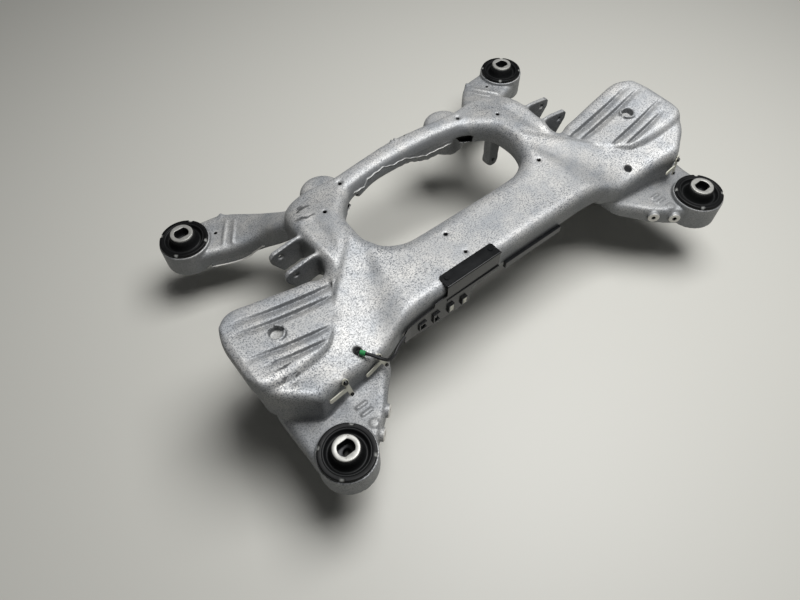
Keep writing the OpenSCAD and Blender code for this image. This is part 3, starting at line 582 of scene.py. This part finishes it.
# Moulded natural rubber: near black, dull, with a faint grey dust.
def moulded_rubber():
    """Fine noise dusts the black a little and breaks up its gloss."""
    rubber = blank("moulded_black_rubber")
    place = add(rubber, "ShaderNodeTexCoord").outputs["Object"]
    dust = add(rubber, "ShaderNodeTexNoise", {"Vector": place, "Scale": per_metre(6), "Detail": 6.0})
    core = add(rubber, "ShaderNodeMix",
               {0: dust.outputs["Fac"], 6: linear("#060708"), 7: linear("#141516")}, data_type="RGBA")
    lip = add(rubber, "ShaderNodeAttribute", attribute_name="lip")
    colour = add(rubber, "ShaderNodeMix", {0: lip.outputs["Fac"], 6: core.outputs[2], 7: linear("#0F1011")},
                 data_type="RGBA")
    bump = add(rubber, "ShaderNodeBump",
               {"Height": dust.outputs["Fac"], "Strength": 0.15, "Distance": 0.0005})
    shader = add(rubber, "ShaderNodeBsdfPrincipled",
                 {"Base Color": colour.outputs[2], "Roughness": 0.55, "Specular IOR Level": 0.3,
                  "Normal": bump.outputs["Normal"]})
    add(rubber, "ShaderNodeOutputMaterial", {"Surface": shader.outputs[0]})
    return rubber


# Turned aluminium that has been bolted up: bright, with dark pits where the washer bit.
def turned_aluminium():
    """Pits are the cores of scattered cells; a finer noise greys the face."""
    bright = blank("turned_aluminium")
    place = add(bright, "ShaderNodeTexCoord").outputs["Object"]
    cloud = add(bright, "ShaderNodeTexNoise", {"Vector": place, "Scale": per_metre(7), "Detail": 4.0})
    tone = add(bright, "ShaderNodeMix",
               {0: cloud.outputs["Fac"], 6: linear("#93938F"), 7: linear("#C9C8C3")}, data_type="RGBA")
    pit = add(bright, "ShaderNodeTexVoronoi", {"Vector": place, "Scale": per_metre(6.5)})
    core = add(bright, "ShaderNodeMapRange",
               {"Value": pit.outputs["Distance"], "From Min": 0.08, "From Max": 0.2, "To Min": 0.9,
                "To Max": 0.0})
    chance = add(bright, "ShaderNodeSeparateColor", {"Color": pit.outputs["Color"]})
    chosen = add(bright, "ShaderNodeMath", {0: chance.outputs["Green"], 1: 0.55}, operation="GREATER_THAN")
    pits = add(bright, "ShaderNodeMath", {0: core.outputs["Result"], 1: chosen.outputs[0]},
               operation="MULTIPLY")
    pitted = add(bright, "ShaderNodeMix", {0: pits.outputs[0], 6: tone.outputs[2], 7: linear("#5A4E42")},
                 data_type="RGBA")
    # painted shade darkens the recess and the bolt bore inside the sleeve
    recess_shade = add(bright, "ShaderNodeAttribute", attribute_name="recess_shade")
    colour = add(bright, "ShaderNodeMix",
                 {0: recess_shade.outputs["Fac"], 6: pitted.outputs[2], 7: linear("#1D1E20")}, data_type="RGBA")
    shader = add(bright, "ShaderNodeBsdfPrincipled", {"Base Color": colour.outputs[2], "Metallic": 0.45,
                                                      "Roughness": 0.42})
    add(bright, "ShaderNodeOutputMaterial", {"Surface": shader.outputs[0]})
    return bright


# radius and height in millimetres, with the flange's top at 0
shell_profile = [(47.0, -64), (50.0, -64), (50.0, -40), (50.0, -7.9), (53.5, -7.9), (56.2, -7.9),
                 (57.0, -7.1), (57.0, -4.5), (57.0, -2.6), (56.7, -1.2), (56.0, -0.3), (55.0, 0.0),
                 (52.6, 0.0), (50.6, -0.1), (49.4, -0.2), (48.2, -0.4), (47.3, -0.7), (47.0, -1.2),
                 (47.0, -8), (47.0, -40)]
rubber_profile = [(26.7, -57), (36, -57), (46.9, -57), (46.9, -30), (46.9, -1.2), (46.5, -0.9),
                  (45.4, -0.9), (44.0, -1.2), (43.2, -2.2), (42.2, -5.0), (41.0, -8.0), (39.0, -10.2),
                  (36.8, -10.8), (34.6, -7.6), (32.5, -2.0), (30.8, 4.0), (29.5, 10.6), (28.4, 13.2),
                  (27.2, 14.3), (26.7, 14.4), (26.7, -20)]
angle = np.linspace(0, 2 * np.pi, BUSH_SEGMENTS, endpoint=False)
from_notch = np.abs((angle - NOTCH_TURN + np.pi / 4) % (np.pi / 2) - np.pi / 4)
in_notch = grade(from_notch, NOTCH_HALF, -NOTCH_FADE)
shell_r, shell_z = profile_column(shell_profile)
rim = grade(shell_r, 0.0515, 0.002) * (shell_z > -0.004)
shell_form = turned(shell_r - NOTCH_IN * rim * in_notch, shell_z - NOTCH_DOWN * rim * in_notch)
rubber_r, rubber_z = profile_column(rubber_profile)
lip = np.broadcast_to((rubber_r > 0.0431) & (rubber_z > -0.005), (len(rubber_r), BUSH_SEGMENTS))
# recess outline: a circle of the long size, cut by two flats the wide size apart
recess = np.minimum(RECESS_LONG / 2, RECESS_WIDE / 2 / np.maximum(np.abs(np.sin(angle)), 1e-6))
low, top = -FLANGE_T - SHELL_DEPTH, SLEEVE_RISE
floor_z = top - RECESS_DEEP
outside = [(SLEEVE_R - 0.0008, low), (SLEEVE_R, low + 0.0008), (SLEEVE_R, low + 0.03),
           (SLEEVE_R, top - 0.0012), (SLEEVE_R - 0.0003, top - 0.0004), (SLEEVE_R - 0.0012, top),
           (SLEEVE_R - 0.004, top), (recess + 0.0014, top), (recess + 0.0005, top - 0.0003)]
inside = [(recess, top - 0.0012), (recess, top - 0.012), (recess, floor_z),
          (recess - 0.0005, floor_z - 0.0001), (BOLT_R + 0.0006, floor_z - 0.0001),
          (BOLT_R, floor_z - 0.0008), (BOLT_R, floor_z - 0.02), (BOLT_R, low + 0.0006),
          (BOLT_R + 0.0006, low)]
rings = outside + inside
sleeve_r = np.array([np.broadcast_to(r, BUSH_SEGMENTS) for r, _ in rings])
sleeve_z = np.array([[z] for _, z in rings])
# the recess and the bolt bore are painted dark as shade
recess_shade = np.repeat(np.arange(len(rings)) >= len(outside), BUSH_SEGMENTS)
# name of the piece, its CAD node and its slot, its form, its finish, and the share painted on it
bush_pieces = (
    ("bush_flange_", "bush_shell_", "bush_flange", shell_form, coated_steel(), "notch", rim * in_notch),
    ("bush_rubber_body_", "bush_rubber_", "bush_rubber", turned(rubber_r, rubber_z), moulded_rubber(),
     "lip", lip),
    ("bush_inner_sleeve_", "bush_sleeve_", "sleeve_aluminium", turned(sleeve_r, sleeve_z),
     turned_aluminium(), "recess_shade", recess_shade))
for end, eye_x, eye_y, flange_z in zip(("front", "rear"), EYE_X, EYE_Y, FLANGE_TOP):
    for where, centre in ((end + "_left", (-eye_x, eye_y, flange_z)),
                          (end + "_right", (eye_x, eye_y, flange_z))):
        for label, node, slot, (points, faces), finish, share, amount in bush_pieces:
            piece = piece_from(label + where, points + centre, faces, finish)
            paint(piece.data, share, amount.ravel().astype(float))
            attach(piece, "root")
            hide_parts(node + where)


# Cable bracket: a black glass-filled nylon moulding hooked over the front edge, held by two rivets.
# It carries the loom clips; the dark duct beside it is the same plastic.
def moulded_nylon():
    """Spark-eroded grain: a fine noise for the height, and a slow one that dusts the black."""
    nylon = blank("black_moulded_nylon")
    place = add(nylon, "ShaderNodeTexCoord").outputs["Object"]
    dust = add(nylon, "ShaderNodeTexNoise", {"Vector": place, "Scale": per_metre(22), "Detail": 5.0})
    colour = add(nylon, "ShaderNodeMix",
                 {0: dust.outputs["Fac"], 6: linear("#050607"), 7: linear("#101214")}, data_type="RGBA")
    # the mould's grain is a few tenths of a millimetre, drawn coarser so that it shows
    grain = add(nylon, "ShaderNodeTexNoise", {"Vector": place, "Scale": per_metre(1.6), "Detail": 2.0})
    bump = add(nylon, "ShaderNodeBump",
               {"Height": grain.outputs["Fac"], "Strength": 0.1, "Distance": 0.0004})
    rough = add(nylon, "ShaderNodeMapRange", {"Value": dust.outputs["Fac"], "To Min": 0.18, "To Max": 0.28})
    shader = add(nylon, "ShaderNodeBsdfPrincipled",
                 {"Base Color": colour.outputs[2], "Specular IOR Level": 0.32,
                  "Roughness": rough.outputs["Result"], "Normal": bump.outputs["Normal"]})
    add(nylon, "ShaderNodeOutputMaterial", {"Surface": shader.outputs[0]})
    return nylon


def finish_node(name, material):
    """Puts a finish on every material slot of a CAD node."""
    for slot in nodes[name].material_slots:
        slot.material = material


nylon_black = moulded_nylon()
for name in ("cable_bracket", "bracket_rivets", "cable_duct", "push_plugs_left_outer",
             "push_plugs_left_inner", "push_plugs_right"):
    finish_node(name, nylon_black)


# Edge clips and the loom clips in the bracket: cream acetal, injection moulded and slightly soiled.
# The edge clips sit over the ramps' edge under their push plugs, and the loom clips snap into the slots.
def cream_acetal():
    """A slow noise soils the cream towards grey-brown."""
    cream = blank("cream_moulded_acetal")
    place = add(cream, "ShaderNodeTexCoord").outputs["Object"]
    soil = add(cream, "ShaderNodeTexNoise", {"Vector": place, "Scale": per_metre(9), "Detail": 4.0})
    colour = add(cream, "ShaderNodeMix",
                 {0: soil.outputs["Fac"], 6: linear("#D9D8CB"), 7: linear("#B5B3A4")}, data_type="RGBA")
    shader = add(cream, "ShaderNodeBsdfPrincipled", {"Base Color": colour.outputs[2], "Roughness": 0.45})
    add(cream, "ShaderNodeOutputMaterial", {"Surface": shader.outputs[0]})
    return cream


cream_plastic = cream_acetal()
for name in ("edge_clip_left_outer", "edge_clip_left_inner", "edge_clip_right", "bracket_clips"):
    finish_node(name, cream_plastic)


# Sensor lead: a black sheathed lead that comes out of the frame, runs through the inner clip and ends in
# the bracket, with one turn of green tape.
def lead_sheath(name, pale, dark):
    """Woven tape or sheath: a fine noise between two tones of one colour."""
    sheath = blank(name)
    place = add(sheath, "ShaderNodeTexCoord").outputs["Object"]
    weave = add(sheath, "ShaderNodeTexNoise", {"Vector": place, "Scale": per_metre(2.2), "Detail": 3.0})
    colour = add(sheath, "ShaderNodeMix", {0: weave.outputs["Fac"], 6: linear(dark), 7: linear(pale)},
                 data_type="RGBA")
    shader = add(sheath, "ShaderNodeBsdfPrincipled", {"Base Color": colour.outputs[2], "Roughness": 0.5})
    add(sheath, "ShaderNodeOutputMaterial", {"Surface": shader.outputs[0]})
    return sheath


finish_node("sensor_lead", lead_sheath("black_lead_sheath", "#191A1C", "#060707"))
finish_node("lead_band", lead_sheath("green_cloth_tape", "#2F9A57", "#1B6E3B"))


# Floor and light: a plain pale floor under a broad ceiling softbox, with a weak glow from the room.
FLOOR_HALF = 6.0
LAMP_PLACE, LAMP_TARGET, LAMP_WIDTH, LAMP_POWER = (0.55, -0.22, 2.6), (0, 0, 0.2), 1.6, 80
ROOM_GLOW = 0.10
corners = np.array([[-1, -1, 0], [1, -1, 0], [1, 1, 0], [-1, 1, 0]]) * FLOOR_HALF
floor_mesh = bpy.data.meshes.new("floor")
floor_mesh.from_pydata(corners.tolist(), [], [(0, 1, 2, 3)])
floor = bpy.data.objects.new("floor", floor_mesh)
bpy.context.collection.objects.link(floor)
floor_paint = blank("pale_floor")
floor_shader = add(floor_paint, "ShaderNodeBsdfPrincipled",
                   {"Base Color": linear("#CECDC6"), "Roughness": 0.5})
add(floor_paint, "ShaderNodeOutputMaterial", {"Surface": floor_shader.outputs[0]})
floor_mesh.materials.append(floor_paint)


lamp = bpy.data.lights.new("ceiling_box", "AREA")
lamp.size = LAMP_WIDTH
lamp.energy = LAMP_POWER
softbox = bpy.data.objects.new("ceiling_box", lamp)
softbox.location = LAMP_PLACE
softbox.rotation_euler = (Vector(LAMP_TARGET) - Vector(LAMP_PLACE)).to_track_quat("-Z", "Y").to_euler()
bpy.context.collection.objects.link(softbox)
world = bpy.data.worlds.new("room")
world.use_nodes = True
glow = world.node_tree.nodes["Background"]
glow.inputs["Color"].default_value = linear("#C9CACB")
glow.inputs["Strength"].default_value = ROOM_GLOW
bpy.context.scene.world = world
bpy.context.scene.view_settings.view_transform = "Standard"
